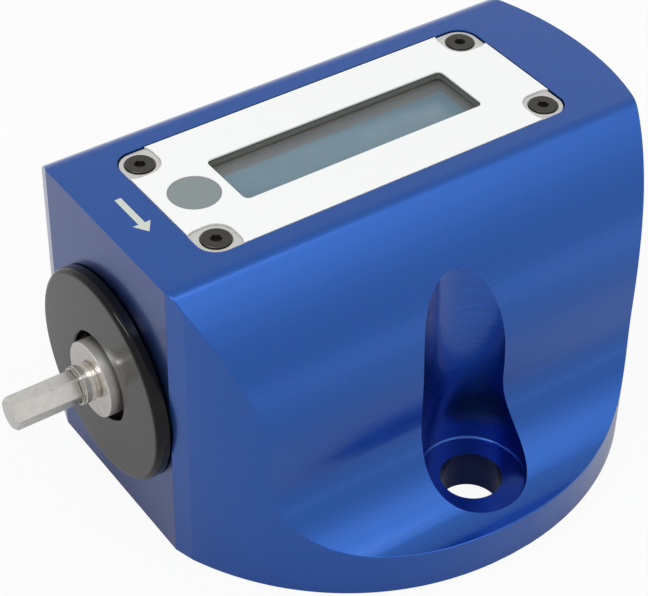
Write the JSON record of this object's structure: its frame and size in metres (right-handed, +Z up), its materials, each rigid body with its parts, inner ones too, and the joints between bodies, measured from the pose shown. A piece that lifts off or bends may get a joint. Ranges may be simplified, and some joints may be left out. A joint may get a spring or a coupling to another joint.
{
  "type": "bench torque tester",
  "caption": "D-shaped metal block with a short hex drive on its flat front, a framed character display and one key on top, and a bolt hole in the flange on each side.",
  "frame": {"origin": "centre of the round plan on the base plane, 1 mm ahead of the point midway between the two bench bolts", "axes": "+X along the drive shaft away from the hex drive, +Z up through the display, -Y towards the user's side"},
  "size_m": [0.1597, 0.1404, 0.0782],
  "materials": {
    "blue_anodised": "satin blue anodised, fine milling grain",
    "black_anodised": "satin black anodised",
    "ground_steel": "ground and turned bright",
    "bearing_steel": "ground",
    "brass": "turned",
    "black_oxide": "black oxide",
    "zinc_plate": "zinc plated",
    "clear_anodised": "clear anodised sheet",
    "white_film": "matt printed film",
    "grey_key": "matt grey",
    "clear_pane": "clear, flat",
    "bezel_black": "black painted sheet steel",
    "display_glass": "blank grey-blue display cell",
    "board_green": "lacquered circuit board",
    "chip_black": "moulded",
    "plug_nylon": "moulded nylon",
    "rubber_black": "matt",
    "gauge_foil": "amber film",
    "lead_grey": "insulated lead",
    "lead_red": "insulated lead",
    "lead_black": "insulated lead",
    "battery_jacket": "plain dark jacket"
  },
  "bodies": {
    "tester": {"housing": "blue_anodised", "cover_plate": "clear_anodised", "overlay_film": "white_film", "panel_gasket": "rubber_black", "cover_screw_1": "black_oxide", "cover_screw_2": "black_oxide", "cover_screw_3": "black_oxide", "cover_screw_4": "black_oxide", "key_dome": "zinc_plate", "key_circuit": "board_green", "key_tail": "gauge_foil", "tail_socket": "plug_nylon", "display_pane": "clear_pane", "display_bezel": "bezel_black", "display_cell": "display_glass", "backlight": "plug_nylon", "display_board": "board_green", "display_spacer_1": "brass", "display_spacer_2": "brass", "display_spacer_3": "brass", "display_spacer_4": "brass", "display_screw_1": "zinc_plate", "display_screw_2": "zinc_plate", "display_screw_3": "zinc_plate", "display_screw_4": "zinc_plate", "display_header": "chip_black", "main_board": "board_green", "board_spacer_1": "brass", "board_spacer_2": "brass", "board_spacer_3": "brass", "board_spacer_4": "brass", "board_screw_1": "zinc_plate", "board_screw_2": "zinc_plate", "board_screw_3": "zinc_plate", "board_screw_4": "zinc_plate", "processor_chip": "chip_black", "amplifier_chip": "chip_black", "gauge_socket": "plug_nylon", "battery_socket": "plug_nylon", "battery": "battery_jacket", "battery_clip": "chip_black", "battery_lead_red": "lead_red", "battery_lead_black": "lead_black", "torsion_shaft": "ground_steel", "stop_ring": "ground_steel", "anchor_screw_1": "black_oxide", "anchor_screw_2": "black_oxide", "anchor_screw_3": "black_oxide", "anchor_screw_4": "black_oxide", "upper_gauge": "gauge_foil", "lower_gauge": "gauge_foil", "gauge_lead": "lead_grey", "bearing_inner_ring": "bearing_steel", "bearing_outer_ring": "bearing_steel", "ball_cage": "brass", "bearing_circlip": "black_oxide", "front_cap": "black_anodised", "cap_o_ring": "rubber_black"},
    "key": {"mode_key": "grey_key"}
  },
  "joints": [
    {"name": "mode_key_press", "type": "slide", "parent": "tester", "child": "key", "axis": [0, 0, -1], "range_m": [0, 0.0003], "stiffness_N_per_m": 300}
  ]
}
